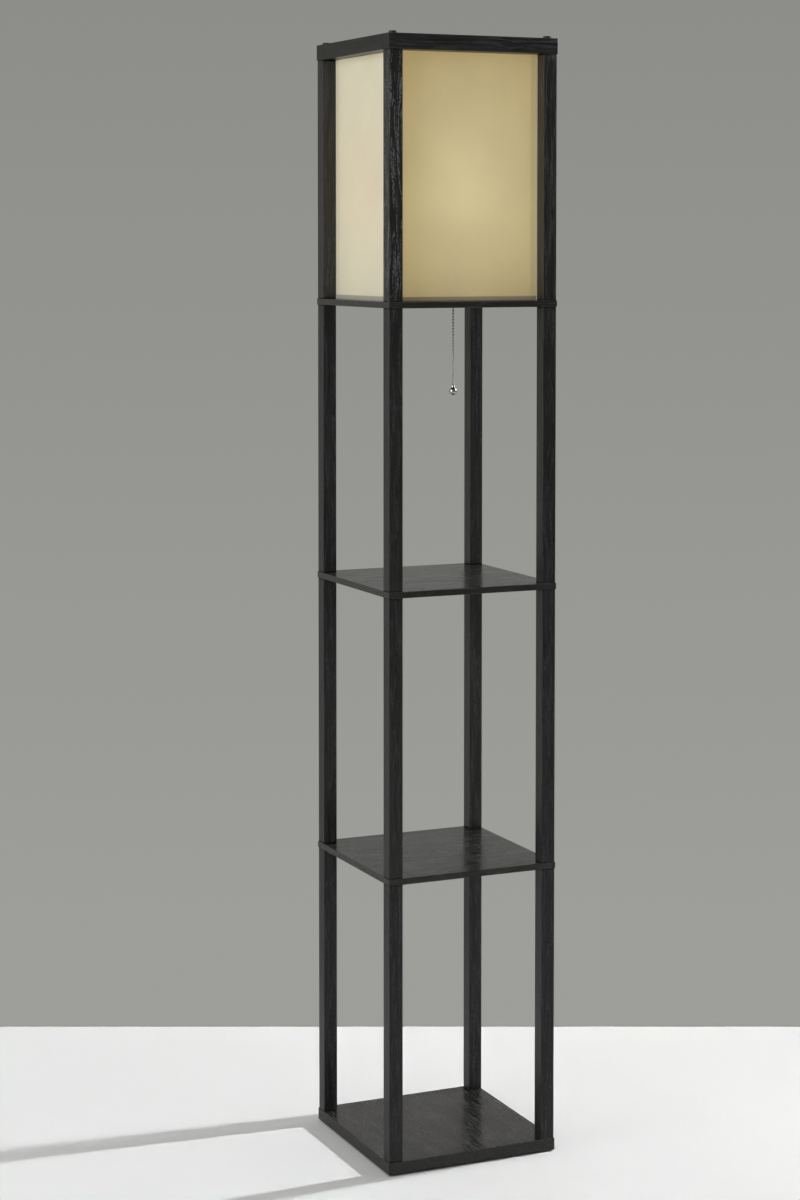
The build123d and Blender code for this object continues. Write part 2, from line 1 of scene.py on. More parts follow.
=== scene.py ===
import bpy
import math
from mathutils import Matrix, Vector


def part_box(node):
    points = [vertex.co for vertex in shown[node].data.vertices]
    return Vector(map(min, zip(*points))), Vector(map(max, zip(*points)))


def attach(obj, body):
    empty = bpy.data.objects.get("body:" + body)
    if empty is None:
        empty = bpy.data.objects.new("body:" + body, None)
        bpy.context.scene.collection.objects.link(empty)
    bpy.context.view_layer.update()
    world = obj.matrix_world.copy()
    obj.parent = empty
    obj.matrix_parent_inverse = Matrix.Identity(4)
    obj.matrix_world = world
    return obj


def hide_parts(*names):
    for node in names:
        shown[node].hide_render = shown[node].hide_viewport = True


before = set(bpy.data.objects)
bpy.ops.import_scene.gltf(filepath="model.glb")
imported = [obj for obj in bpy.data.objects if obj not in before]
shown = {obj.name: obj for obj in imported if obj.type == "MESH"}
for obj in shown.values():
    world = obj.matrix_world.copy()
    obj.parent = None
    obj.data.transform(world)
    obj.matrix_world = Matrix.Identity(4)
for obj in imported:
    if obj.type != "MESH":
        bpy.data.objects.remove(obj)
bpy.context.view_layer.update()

# --- The room ---------------------------------------------------------------------------
# A pale floor runs up to a grey wall close behind the lamp. A low key light on the right
# casts the thin shadows, soft boxes stand on the left, above and on the right, and the
# lamp is seen from its front left corner, from a little below its shade.
view_place = (-1.5633, -3.3701, 1.300)
view_turn = math.radians(24.11)
view_dip = math.radians(3.078)
view_lens = 77.5
view_shift = -0.18
bpy.ops.object.camera_add(
    location=view_place, rotation=(math.radians(90) - view_dip, 0, -view_turn)
)
camera = bpy.context.object
camera.data.lens = view_lens
camera.data.shift_y = view_shift
bpy.context.scene.camera = camera


def part_material(name):
    """A new material and its tree, whose main shader is ready."""
    material = bpy.data.materials.new(name)
    material.use_nodes = True
    return material, material.node_tree


def add(tree, kind, inputs=None, **settings):
    """Adds a node; an input is given a value, or the output that feeds it."""
    node = tree.nodes.new("ShaderNode" + kind)
    for key, value in settings.items():
        setattr(node, key, value)
    for socket, value in (inputs or {}).items():
        if isinstance(value, bpy.types.NodeSocket):
            tree.links.new(value, node.inputs[socket])
        else:
            node.inputs[socket].default_value = value
    return node


def shaded(tree, **inputs):
    """Sets the main shader's sockets, named in words joined by underscores."""
    shader = tree.nodes["Principled BSDF"]
    for name, value in inputs.items():
        socket = shader.inputs[name.replace("_", " ")]
        if isinstance(value, bpy.types.NodeSocket):
            tree.links.new(value, socket)
        else:
            socket.default_value = value


def worked(tree, operation, first, second=0.0):
    """One or two numbers put through a sum."""
    return add(tree, "Math", {0: first, 1: second}, operation=operation).outputs[0]


def between(tree, value, low, high, to_low=0.0, to_high=1.0):
    """Takes the span from low to high to another span, and stops at its ends."""
    ranged = add(tree, "MapRange", {"Value": value, "From Min": low, "From Max": high,
                                    "To Min": to_low, "To Max": to_high})
    return ranged.outputs[0]


def mixed(tree, share, first, second):
    """The first colour where the share is nought, and the second where it is one."""
    inputs = {"Fac": share}
    for socket, colour in (("Color1", first), ("Color2", second)):
        inputs[socket] = (*colour, 1) if isinstance(colour, (list, tuple)) else colour
    return add(tree, "MixRGB", inputs).outputs[0]


def clouds(tree, source, scale, detail, output="Fac"):
    """Noise over a source, which three scales stretch along an axis."""
    if isinstance(scale, (list, tuple)):
        source = add(tree, "Mapping", {"Vector": source, "Scale": scale}).outputs[0]
        scale = 1.0
    noise = add(tree, "TexNoise", {"Vector": source, "Scale": scale, "Detail": detail})
    return noise.outputs[output]


def on_piece(tree):
    """The place on the piece itself."""
    return add(tree, "TexCoord").outputs["Object"]


# The floor looks even, because it is paler where the key light falls more weakly. Gloss
# shows it dimmer, and as a light on the lamp from below it counts as grey.
floor_size = 30.0
floor_tones = (0.95, 0.99)
tone_below_key = 0.70
tone_in_gloss = 0.60
tone_to_lamp = (0.30, 0.30, 0.30)
key_place = (1.90, -0.05, 1.16)
key_reach = 1.75
bpy.ops.object.select_all(action="DESELECT")
bpy.ops.mesh.primitive_plane_add(size=floor_size)
floor = bpy.context.object
floor.name = "floor"
floor_paint, tree = part_material("pale_floor")
coords = on_piece(tree)
speck = between(tree, clouds(tree, coords, 3.0, detail=2.0), 0.0, 1.0, *floor_tones)
to_key = add(tree, "VectorMath", {0: coords, 1: key_place}, operation="DISTANCE")
under_key = between(tree, to_key.outputs["Value"], key_place[2], key_reach,
                    tone_below_key, 1.0)
path = add(tree, "LightPath")
in_gloss = between(tree, path.outputs["Is Glossy Ray"], 0.0, 1.0, 1.0, tone_in_gloss)
pale = worked(tree, "MULTIPLY", worked(tree, "MULTIPLY", speck, under_key), in_gloss)
seen = worked(tree, "MAXIMUM", path.outputs["Is Camera Ray"], path.outputs["Is Glossy Ray"])
seen = worked(tree, "MAXIMUM", seen, path.outputs["Is Transmission Ray"])
tone = mixed(tree, seen, tone_to_lamp, pale)
shaded(tree, Base_Color=tone, Roughness=0.8, Specular_IOR_Level=0.1)
floor.data.materials.append(floor_paint)

# The wall is lit by its own paint, so no lamp changes it. It is clear from behind.
wall_distance = 4.239
wall_size = 16.0
wall_low = (0.340, 0.340, 0.325)
wall_high = (0.262, 0.266, 0.246)
wall_blend = (0.2, 1.8)
wall_foot = (
    view_place[0] + wall_distance * math.sin(view_turn),
    view_place[1] + wall_distance * math.cos(view_turn),
)
bpy.ops.object.select_all(action="DESELECT")
bpy.ops.mesh.primitive_plane_add(
    size=wall_size,
    location=(wall_foot[0], wall_foot[1], wall_size / 2),
    rotation=(math.radians(90), 0, -view_turn),
)
wall = bpy.context.object
wall.name = "wall"
wall.visible_shadow = False
wall_paint, tree = part_material("grey_wall")
level = add(tree, "SeparateXYZ", {0: add(tree, "NewGeometry").outputs["Position"]})
rise = between(tree, level.outputs["Z"], *wall_blend)
grey = mixed(tree, rise, wall_low, wall_high)
glow = add(tree, "Emission", {"Color": grey})
clear = add(tree, "BsdfTransparent")
facing = add(tree, "NewGeometry").outputs["Backfacing"]
both = add(tree, "MixShader", {0: facing, 1: glow.outputs[0], 2: clear.outputs[0]})
tree.links.new(both.outputs[0], tree.nodes["Material Output"].inputs["Surface"])
tree.nodes.remove(tree.nodes["Principled BSDF"])
wall.data.materials.append(wall_paint)

# Behind the viewer the room is dim, and behind the lamp it is lighter.
room_front = (0.12, 0.12, 0.12)
room_back = (0.26, 0.26, 0.26)
room_seen = (0.262, 0.266, 0.250)
room_blend = (-0.8, 0.8)
world = bpy.data.worlds.new("studio")
bpy.context.scene.world = world
world.use_nodes = True
tree = world.node_tree
way = add(tree, "SeparateXYZ", {0: add(tree, "TexCoord").outputs["Generated"]})
back = between(tree, way.outputs["Y"], *room_blend)
room = mixed(tree, back, room_front, room_back)
seen = add(tree, "LightPath").outputs["Is Camera Ray"]
backdrop = mixed(tree, seen, room, room_seen)
tree.links.new(backdrop, tree.nodes["Background"].inputs["Color"])


def round_light(name, place, size, power):
    """A small round light that isn't seen itself."""
    bpy.ops.object.light_add(type="POINT", location=place)
    light = bpy.context.object
    light.name = name
    light.data.shadow_soft_size = size
    light.data.energy = power
    light.visible_camera = False
    return light


# The key light is as strong far off as near by, and gloss doesn't show it.
key = round_light("key_light", key_place, size=0.05, power=31.0)
key.data.use_nodes = True
tree = key.data.node_tree
even = add(tree, "LightFalloff", {"Strength": 1.0})
tree.links.new(even.outputs["Constant"], tree.nodes["Emission"].inputs["Strength"])
key.visible_glossy = False


def soft_light(name, place, aim, size, power):
    """A square soft box that shines from its place at a point, and isn't seen itself."""
    bpy.ops.object.light_add(type="AREA", location=place)
    light = bpy.context.object
    light.name = name
    way = [there - here for there, here in zip(aim, place)]
    flat = math.hypot(way[0], way[1])
    turn = math.atan2(way[1], way[0]) - math.radians(90)
    light.rotation_euler = (math.atan2(flat, -way[2]), 0, turn)
    light.data.size = size
    light.data.energy = power
    light.visible_camera = False
    return light


# The soft box on the right shows in gloss alone, on the chain and the lacquer.
soft_light("left_light", (-3.0, -0.8, 1.9), aim=(0, 0, 0.9), size=2.0, power=40.0)
soft_light("top_light", (0.3, 0.2, 4.0), aim=(0.3, 0.21, 0.0), size=2.5, power=30.0)
sparkle = soft_light("sparkle_light", (2.3, -0.5, 2.4), aim=(0, 0, 1.2), size=1.0, power=65.0)
sparkle.visible_diffuse = False

# --- Base board and shelves -------------------------------------------------------------
# Square boards faced with black-stained open-grain veneer under a satin lacquer. They
# lie between the tiers of posts, and studs through their corners clamp them.
axes = "XYZ"
dark_fibre = (0.0060, 0.0056, 0.0055)
pale_fibre = (0.0230, 0.0222, 0.0216)
streak_tone = (0.058, 0.056, 0.053)
# The pale pore tone is partly grain and partly a painted highlight on the pore edges.
pore_and_glint_tone = (0.42, 0.42, 0.43)
strip_tone = (0.040, 0.038, 0.035)
# The next tone is a painted highlight along the eased edges.
edge_highlight_tone = (0.075, 0.073, 0.070)
streak_share = 0.40
edge_highlight_share = 0.75
board_streaks = 1.6
post_gloss = (0.27, 0.40)
board_gloss = (0.13, 0.24)
pore_dulls = 0.2
fibre_height = 0.35
eased_edge = 0.0018

# Noise lies mostly within its middle span. The others say where a mark starts and is full.
middle_span = (0.3, 0.7)
streak_span = (0.56, 0.74)
dust_span = (0.48, 0.72)
fleck_span = (0.43, 0.54)
pore_row_span = (0.055, 0.015)
edge_highlight_span = (0.97, 0.80)
edge_face_span = (0.8, 0.5)


def bumped(tree, height, strength, distance, over=None):
    """Relief from a height, laid over other relief where that is given."""
    inputs = {"Height": height, "Strength": strength, "Distance": distance}
    if over is not None:
        inputs["Normal"] = over
    return add(tree, "Bump", inputs).outputs["Normal"]


def black_veneer(name, grain, shift, pore_flecks_and_glints=0.12, stain_and_light=1.0, ends=None, banded=False):
    """Veneer whose fibres run along one axis; shift takes it from another part of the sheet.

    Its pores show as rows of pale flecks, partly grain and partly a painted highlight of the
    lacquer on the pore edges. A board is banded along its edges with plain strip, and the levels
    of a post's two ends get an eased edge.
    """
    material, tree = part_material(name)
    coords = on_piece(tree)
    sheet = add(tree, "Mapping", {"Vector": coords, "Location": shift}).outputs[0]

    def stretch(across, along):
        return [along if axis == grain else across for axis in axes]

    def grained(source, across, along, detail):
        return clouds(tree, source, stretch(across, along), detail)

    # The fibres wander to the sides as they run along.
    drift = clouds(tree, sheet, stretch(across=14.0, along=7.0), detail=2.0, output="Color")
    centred = add(tree, "VectorMath", {0: drift, 1: (0.5, 0.5, 0.5)}, operation="SUBTRACT")
    sideways = add(tree, "VectorMath", {0: centred.outputs[0], 1: stretch(0.020, 0.0)},
                   operation="MULTIPLY")
    wavy = add(tree, "VectorMath", {0: sheet, 1: sideways.outputs[0]}, operation="ADD").outputs[0]

    bands = grained(wavy, across=120.0, along=2.6, detail=2.0)
    fibre = grained(wavy, across=620.0, along=15.0, detail=4.0)
    rows = grained(wavy, across=230.0, along=6.0, detail=1.0)
    streaks = between(tree, grained(wavy, across=300.0, along=9.0, detail=2.0), *streak_span)
    dust = between(tree, grained(sheet, across=45.0, along=18.0, detail=4.0), *dust_span)
    flecks = between(tree, grained(wavy, across=900.0, along=260.0, detail=2.0), *fleck_span)
    off_row = worked(tree, "ABSOLUTE", worked(tree, "SUBTRACT", rows, 0.5))
    pores = worked(tree, "MULTIPLY", between(tree, off_row, *pore_row_span), flecks)

    # A painted highlight runs along every eased edge, as a paler tone where the face turns.
    facing = add(tree, "SeparateXYZ", {0: add(tree, "NewGeometry").outputs["Normal"]})
    lie = [worked(tree, "ABSOLUTE", facing.outputs[axis]) for axis in axes]
    flat = worked(tree, "MAXIMUM", worked(tree, "MAXIMUM", lie[0], lie[1]), lie[2])
    edge_highlight = between(tree, flat, *edge_highlight_span)
    figure = worked(tree, "MULTIPLY", between(tree, bands, *middle_span),
                    between(tree, fibre, *middle_span))
    off_sheet = 0.0
    gloss = post_gloss
    if banded:
        gloss = board_gloss
        off_sheet = between(tree, lie[2], *edge_face_span)
        streaks = worked(tree, "MULTIPLY", worked(tree, "MAXIMUM", streaks, dust),
                         board_streaks)

    tone = mixed(tree, figure, [channel * stain_and_light for channel in dark_fibre],
                 [channel * stain_and_light for channel in pale_fibre])
    for amount, paler in ((worked(tree, "MULTIPLY", streaks, streak_share), streak_tone),
                          (worked(tree, "MULTIPLY", pores, pore_flecks_and_glints), pore_and_glint_tone),
                          (off_sheet, strip_tone),
                          (worked(tree, "MULTIPLY", edge_highlight, edge_highlight_share), edge_highlight_tone)):
        tone = mixed(tree, amount, tone, paler)
    sheen = worked(tree, "ADD", between(tree, fibre, *middle_span, *gloss),
                   worked(tree, "MULTIPLY", pores, pore_dulls))
    relief = worked(tree, "SUBTRACT", between(tree, fibre, 0.2, 0.8, 0.0, fibre_height), pores)
    bump = bumped(tree, relief, strength=0.35, distance=0.0004)
    if ends:
        level = add(tree, "SeparateXYZ", {0: coords}).outputs["Z"]
        inward = worked(tree, "MINIMUM", worked(tree, "SUBTRACT", level, ends[0]),
                        worked(tree, "SUBTRACT", ends[1], level))
        edge = worked(tree, "POWER", between(tree, inward, 0.0, eased_edge, 1.0, 0.0), 2.0)
        bump = bumped(tree, worked(tree, "SUBTRACT", 1.0, edge), strength=1.0,
                      distance=eased_edge, over=bump)
    shaded(tree, Base_Color=tone, Roughness=sheen, Normal=bump)
    return material


def dress(node, material):
    """Gives a node of the frame its finish."""
    shown[node].material_slots[0].material = material


for board, grain, place in (("base_board", "Y", (0.31, 0.17, 0.0)),
                            ("lower_shelf", "X", (0.10, 0.42, 0.0)),
                            ("middle_shelf", "X", (0.77, 0.25, 0.0)),
                            ("lamp_shelf", "X", (0.52, 0.93, 0.0))):
    dress(board, black_veneer(f"veneer_{board}", grain, place, stain_and_light=1.2, banded=True))

# --- Posts ------------------------------------------------------------------------------
# Sixteen square posts of veneered board, four to a tier, with the grain upright.
# Threaded inserts in both ends take the studs and bolts.
sheet_step = (0.083, 0.057, 0.61)
post_number = 0

# The lower tier is painted darker than the other three, a painted shade difference between tiers,
# and one post by the shade shows the most pale flecks, partly painted highlight.
for tier in ("lower", "middle", "upper", "shade"):
    for corner in ("front_left", "front_right", "back_right", "back_left"):
        post_low, post_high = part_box(f"{tier}_post_{corner}")
        most_pore_glints = tier == "shade" and corner == "front_left"
        veneer = black_veneer(
            f"veneer_{tier}_{corner}", "Z", [step * post_number for step in sheet_step],
            pore_flecks_and_glints=0.6 if most_pore_glints else 0.12, stain_and_light=1.0 if tier == "lower" else 1.8,
            ends=(post_low.z, post_high.z),
        )
        dress(f"{tier}_post_{corner}", veneer)
        post_number += 1

# --- Top frame --------------------------------------------------------------------------
# Four rails close the tower. The long ones run over the side ones' ends, glued with
# two beech dowels at each corner.
for side, grain, place in (("front", "X", (0.2, 0.6, 0.4)), ("back", "X", (0.9, 0.1, 0.7)),
                           ("left", "Y", (0.4, 0.3, 0.1)), ("right", "Y", (0.6, 0.8, 0.5))):
    veneer = black_veneer(f"veneer_rail_{side}", grain, place, pore_flecks_and_glints=0.04, stain_and_light=1.2)
    dress(f"top_rail_{side}", veneer)


def bare_wood(name, scale, dark, pale, roughness):
    """Bare wood whose fine streaks run along the axis with the smallest scale."""
    material, tree = part_material(name)
    streaks = clouds(tree, on_piece(tree), scale, detail=4.0)
    shaded(tree, Base_Color=mixed(tree, streaks, dark, pale), Roughness=roughness)
    return material


dress("frame_dowels", bare_wood("beech", (900.0, 40.0, 900.0), dark=(0.42, 0.27, 0.14),
                                pale=(0.62, 0.44, 0.26), roughness=0.7))

# --- Fastenings and feet ----------------------------------------------------------------
# Zinc-plated inserts and studs are hidden in the joints. The bolts are blackened, and
# flat round pads of smooth plastic carry the base.
dull_share = 0.82


def plated(name, colour, roughness, metal=1.0, scale=900.0, wear=0.12):
    """A metal or moulded finish with fine cloudy wear in its gloss and relief."""
    material, tree = part_material(name)
    coords = on_piece(tree)
    cloud = clouds(tree, coords, scale, detail=4.0)
    soft = clouds(tree, coords, scale / 9, detail=2.0)
    gloss = between(tree, cloud, *middle_span, roughness - wear / 2, roughness + wear / 2)
    tone = mixed(tree, soft, colour, [channel * dull_share for channel in colour])
    bump = bumped(tree, cloud, strength=0.08, distance=0.0002)
    shaded(tree, Base_Color=tone, Roughness=gloss, Metallic=metal, Normal=bump)
    return material


zinc = plated("zinc_plate", (0.62, 0.63, 0.65), roughness=0.38)
blackened = plated("black_oxide", (0.045, 0.045, 0.048), roughness=0.34, metal=0.7)
dress("post_inserts", zinc)
dress("joining_studs", zinc)
dress("base_bolts", blackened)
dress("foot_glides", plated("glide_plastic", (0.03, 0.03, 0.03), roughness=0.5, metal=0.0))


def turned_piece(name, rings, sides, axis=(0.0, 0.0)):
    """Draws a ring of the first radius on from level to level, each (radius, level)."""
    bpy.ops.object.select_all(action="DESELECT")
    radius, level = rings[0]
    bpy.ops.mesh.primitive_circle_add(vertices=sides, radius=radius, location=(*axis, level))
    piece = bpy.context.object
    piece.name = name
    bpy.ops.object.mode_set(mode="EDIT")
    for next_radius, next_level in rings[1:]:
        rise = {"value": (0, 0, next_level - level)}
        bpy.ops.mesh.extrude_region_move(TRANSFORM_OT_translate=rise)
        share = next_radius / radius
        bpy.ops.transform.resize(value=(share, share, 1), center_override=(*axis, next_level))
        radius, level = next_radius, next_level
    bpy.ops.object.mode_set(mode="OBJECT")
    return piece


def pick(pieces):
    """Selects these pieces alone, and makes the first one active."""
    bpy.ops.object.select_all(action="DESELECT")
    for piece in pieces:
        piece.select_set(True)
    bpy.context.view_layer.objects.active = pieces[0]


def finish_mesh(piece, material, crease=35):
    """Joins seams, closes open ends, turns the faces out and brings the place into the mesh."""
    pick([piece])
    bpy.ops.object.mode_set(mode="EDIT")
    bpy.ops.mesh.select_all(action="SELECT")
    bpy.ops.mesh.remove_doubles(threshold=1e-6)
    bpy.ops.mesh.fill_holes(sides=0)
    bpy.ops.mesh.select_all(action="SELECT")
    bpy.ops.mesh.normals_make_consistent(inside=False)
    bpy.ops.object.mode_set(mode="OBJECT")
    bpy.ops.object.transform_apply(location=True, rotation=True, scale=True)
    bpy.ops.object.shade_smooth_by_angle(angle=math.radians(crease))
    piece.data.materials.clear()
    piece.data.materials.append(material)


def copied(piece, name, move):
    """A copy with its own mesh, moved to its place."""
    pick([piece])
    bpy.ops.object.duplicate(linked=False)
    twin = bpy.context.object
    twin.name = name
    bpy.ops.transform.translate(value=move)
    bpy.ops.object.transform_apply(location=True, rotation=True, scale=True)
    return twin


def stands_for(piece, node, body):
    """The piece rides on a body and takes the place of a node of the frame."""
    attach(piece, body)
    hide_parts(node)


# Each top bolt has a flat head with a rounded rim and a recess for a hexagon key.
bolts_low, bolts_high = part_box("top_bolts")
head_radius = 0.006
head_top = bolts_high.z
head_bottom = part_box("top_rail_front")[1].z
head_rim = 0.0011
head_shoulder = head_radius - 0.0003
head_flat = head_radius - 0.0010
shank_radius = 0.003
tip_radius = 0.0012
tip_length = 0.0005
soft_edge = 0.0004
key_depth = 0.002
key_dip = 0.0002
key_corner = 0.00231
key_mouth = key_corner + 0.0007
mouth_dip = 0.0001
bolt = turned_piece("top_bolt_front_left", [
    (tip_radius, bolts_low.z), (shank_radius - soft_edge, bolts_low.z),
    (shank_radius, bolts_low.z + tip_length), (shank_radius, head_bottom),
    (head_radius - soft_edge, head_bottom), (head_radius, head_bottom + soft_edge),
    (head_radius, head_top - head_rim), (head_shoulder, head_top - soft_edge),
    (head_flat, head_top), (key_mouth, head_top),
    (key_corner + soft_edge, head_top - mouth_dip), (key_corner, head_top - soft_edge),
    (key_corner, head_top - key_depth), (key_corner / 2, head_top - key_depth - key_dip),
], sides=48, axis=(bolts_low.x + head_radius, bolts_low.y + head_radius))
for vertex in bolt.data.vertices:
    if abs(math.hypot(vertex.co.x, vertex.co.y) - key_corner) < 1e-5:
        turn = math.atan2(vertex.co.y, vertex.co.x) % math.radians(60) - math.radians(30)
        to_flat = math.cos(math.radians(30)) / math.cos(turn)
        vertex.co.x *= to_flat
        vertex.co.y *= to_flat
finish_mesh(bolt, blackened, crease=30)
across = bolts_high.x - bolts_low.x - 2 * head_radius
for top_bolt in (
    bolt,
    copied(bolt, "top_bolt_front_right", (across, 0, 0)),
    copied(bolt, "top_bolt_back_right", (across, across, 0)),
    copied(bolt, "top_bolt_back_left", (0, across, 0)),
):
    stands_for(top_bolt, "top_bolts", "frame")

# --- Shade ------------------------------------------------------------------------------
# Four sheets of cream translucent film on a light box frame of pale strips, which stands on the
# lamp shelf between the posts. The bulb's light through them is painted into the film as a glow.
softwood = bare_wood("pale_softwood", (500.0, 500.0, 30.0), dark=(0.62, 0.53, 0.36),
                     pale=(0.74, 0.66, 0.49), roughness=0.65)
dress("shade_corner_strips", softwood)
dress("shade_top_battens", softwood)
dress("shade_bottom_battens", softwood)

globe_low, globe_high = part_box("bulb_globe")
panel_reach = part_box("shade_panel_front")[1].x
batten_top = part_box("shade_bottom_battens")[1].z
glow_centre = (0.0, 0.0, globe_high.z + 0.004)
strip_width = 0.009
strip_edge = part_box("shade_corner_strips")[1].x - strip_width
strip_blur = 0.0015
# Painted shade where the strips and battens stand behind the film, and towards its foot.
strip_shade_share = 0.80
batten_blur = 0.0008
batten_shade_share = 0.30
foot_shade_share = 0.84
unevenness = (0.94, 1.06)
glow_fall = 2.5
film_dark = (0.60, 0.57, 0.48)
film_pale = (0.68, 0.65, 0.56)
# The film's colour over the bottom battens is greyed as painted shade.
batten_shade_tone = (0.43, 0.43, 0.39)


def shade_film(name, base_glow, bulb_glow):
    """Film with a painted glow for the bulb's light, even and stronger near the bulb; the frame
    behind shows as bands of painted shade.
    """
    material, tree = part_material(name)
    coords = on_piece(tree)
    split = add(tree, "SeparateXYZ", {0: coords})
    level = split.outputs["Z"]

    # How much of the painted glow comes through at each place; the strips, the battens and the
    # foot of the sheet get painted shade.
    along_panel = worked(tree, "MINIMUM", worked(tree, "ABSOLUTE", split.outputs["X"]),
                         worked(tree, "ABSOLUTE", split.outputs["Y"]))
    off_strip = between(tree, along_panel, strip_edge - strip_blur, strip_edge + strip_blur,
                        1.0, strip_shade_share)
    off_batten = between(tree, level, batten_top - batten_blur, batten_top + batten_blur)
    uneven = between(tree, clouds(tree, coords, 16.0, detail=3.0), *middle_span, *unevenness)
    foot_shade = between(tree, level, batten_top, globe_low.z, foot_shade_share, 1.0)
    above_batten = worked(tree, "MAXIMUM", off_batten, batten_shade_share)
    through = worked(tree, "MULTIPLY", worked(tree, "MULTIPLY", off_strip, uneven),
                     worked(tree, "MULTIPLY", above_batten, foot_shade))

    # The painted glow falls off with the distance from the bulb.
    away = add(tree, "VectorMath", {0: coords, 1: glow_centre}, operation="DISTANCE")
    near = worked(tree, "DIVIDE", panel_reach, away.outputs["Value"])
    direct = worked(tree, "POWER", near, glow_fall)
    hot = add(tree, "VectorMath", {0: bulb_glow, "Scale": direct}, operation="SCALE")
    warm = add(tree, "VectorMath", {0: hot.outputs[0], 1: base_glow}, operation="ADD")
    lit = add(tree, "VectorMath", {0: warm.outputs[0], "Scale": through}, operation="SCALE")

    thread = clouds(tree, coords, (900.0, 900.0, 900.0), detail=3.0)
    cream = mixed(tree, thread, film_dark, film_pale)
    shaded(tree, Base_Color=mixed(tree, off_batten, batten_shade_tone, cream), Roughness=0.45,
           Emission_Color=lit.outputs[0], Emission_Strength=1.0,
           Normal=bumped(tree, thread, strength=0.10, distance=0.0002))
    return material


# Each sheet has its own painted glow, lit copies of one film. The left sheet's turns warmer
# towards the bulb. The key light falls on the right one from outside, so that sheet gets less
# painted glow.
face_film = shade_film("film_faces", (0.285, 0.205, 0.060), (0.160, 0.160, 0.090))
left_film = shade_film("film_left", (0.300, 0.280, 0.175), (0.020, -0.030, -0.040))
right_film = shade_film("film_right", (0.060, 0.030, 0.010), (0.050, 0.050, 0.020))
dress("shade_panel_front", face_film)
dress("shade_panel_back", face_film)
dress("shade_panel_left", left_film)
dress("shade_panel_right", right_film)

# --- Lamp pipe --------------------------------------------------------------------------
# A threaded steel pipe through the middle of the lamp shelf carries the socket. Nuts
# and washers clamp it, and a plastic collar lines its lower end for the lead.


def levels_between(radius, low, high, count):
    """Rings of one radius at even steps from one level to another."""
    return [(radius, low + (high - low) * step / count) for step in range(count + 1)]


def threaded(piece, wall, low, high, pitch, depth):
    """Presses a helix into the wall at a radius, in by depth or out where that is below nought."""
    for vertex in piece.data.vertices:
        level = vertex.co.z + piece.location.z
        radius = math.hypot(vertex.co.x, vertex.co.y)
        if low < level < high and abs(radius - wall) < abs(depth):
            turn = math.atan2(vertex.co.y, vertex.co.x)
            wave = 0.5 + 0.5 * math.cos(math.tau * level / pitch - turn)
            fade = min(1.0, (level - low) / pitch, (high - level) / pitch)
            share = 1 - depth * wave * fade / radius
            vertex.co.x *= share
            vertex.co.y *= share


pipe_low, pipe_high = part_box("lamp_pipe")
pipe_radius = pipe_high.x
pipe_bore = 0.0037
pipe_end = 0.0004
pipe_pitch = 0.001
pipe_thread = 0.00045
pipe = turned_piece("threaded_pipe", [
    (pipe_bore, pipe_low.z), (pipe_radius - pipe_end, pipe_low.z),
    *levels_between(pipe_radius, pipe_low.z + pipe_end, pipe_high.z - pipe_end, count=160),
    (pipe_radius - pipe_end, pipe_high.z), (pipe_bore, pipe_high.z), (pipe_bore, pipe_low.z),
], sides=32)
threaded(pipe, pipe_radius, pipe_low.z, pipe_high.z, pipe_pitch, pipe_thread)
finish_mesh(pipe, zinc, crease=70)
stands_for(pipe, "lamp_pipe", "frame")
dress("pipe_washers", zinc)
dress("pipe_nuts", zinc)
dress("cord_bushing", plated("bushing_plastic", (0.025, 0.025, 0.025), roughness=0.45, metal=0.0))

# --- Socket -----------------------------------------------------------------------------
# A brass-plated cap and shell round an insulating card sleeve, with a moulded switch
# block inside. The spun shell has a rolled rim, and a threaded shell takes the bulb.


def arc(radius, level, start, end, steps, across=0.0):
    """Rings along an arc round a point at a level, from one angle to another in degrees."""
    turns = [math.radians(start + (end - start) * step / steps) for step in range(steps + 1)]
    return [(across + radius * math.cos(turn), level + radius * math.sin(turn)) for turn in turns]


brass = plated("brass_plate", (0.80, 0.60, 0.28), roughness=0.24)
dress("socket_cap", brass)
dress("chain_guide", brass)
dress("centre_contact", brass)
dress("socket_liner", plated("insulating_card", (0.45, 0.36, 0.26), roughness=0.85, metal=0.0))
dress("switch_body", plated("phenolic", (0.022, 0.020, 0.019), roughness=0.28, metal=0.0))
dress("lever_pin", zinc)
dress("switch_lever", brass)

shell_low, shell_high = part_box("socket_shell")
shell_wall = 0.0007
shell_radius = shell_high.x - shell_wall
shell_inside = shell_radius - shell_wall
rim_roll = shell_wall * 1.5
rim_level = shell_high.z - rim_roll
bead_level = shell_high.z - 0.0075
bead_rise = 0.0005
bead_flank = 0.0008
bead_foot = 0.0014
shell = turned_piece("spun_shell", [
    (shell_inside, shell_low.z), (shell_radius, shell_low.z),
    (shell_radius, bead_level - bead_foot),
    (shell_radius + bead_rise / 2, bead_level - bead_flank),
    (shell_radius + bead_rise, bead_level),
    (shell_radius + bead_rise / 2, bead_level + bead_flank),
    (shell_radius, bead_level + bead_foot), (shell_radius, rim_level - rim_roll),
    *arc(rim_roll, rim_level, -60, 90, 8, shell_high.x - rim_roll),
    (shell_inside, rim_level + rim_roll / 2), (shell_inside, bead_level + bead_foot),
    (shell_inside + bead_rise, bead_level), (shell_inside, bead_level - bead_foot),
    (shell_inside, shell_low.z),
], sides=72)
finish_mesh(shell, brass)
stands_for(shell, "socket_shell", "frame")

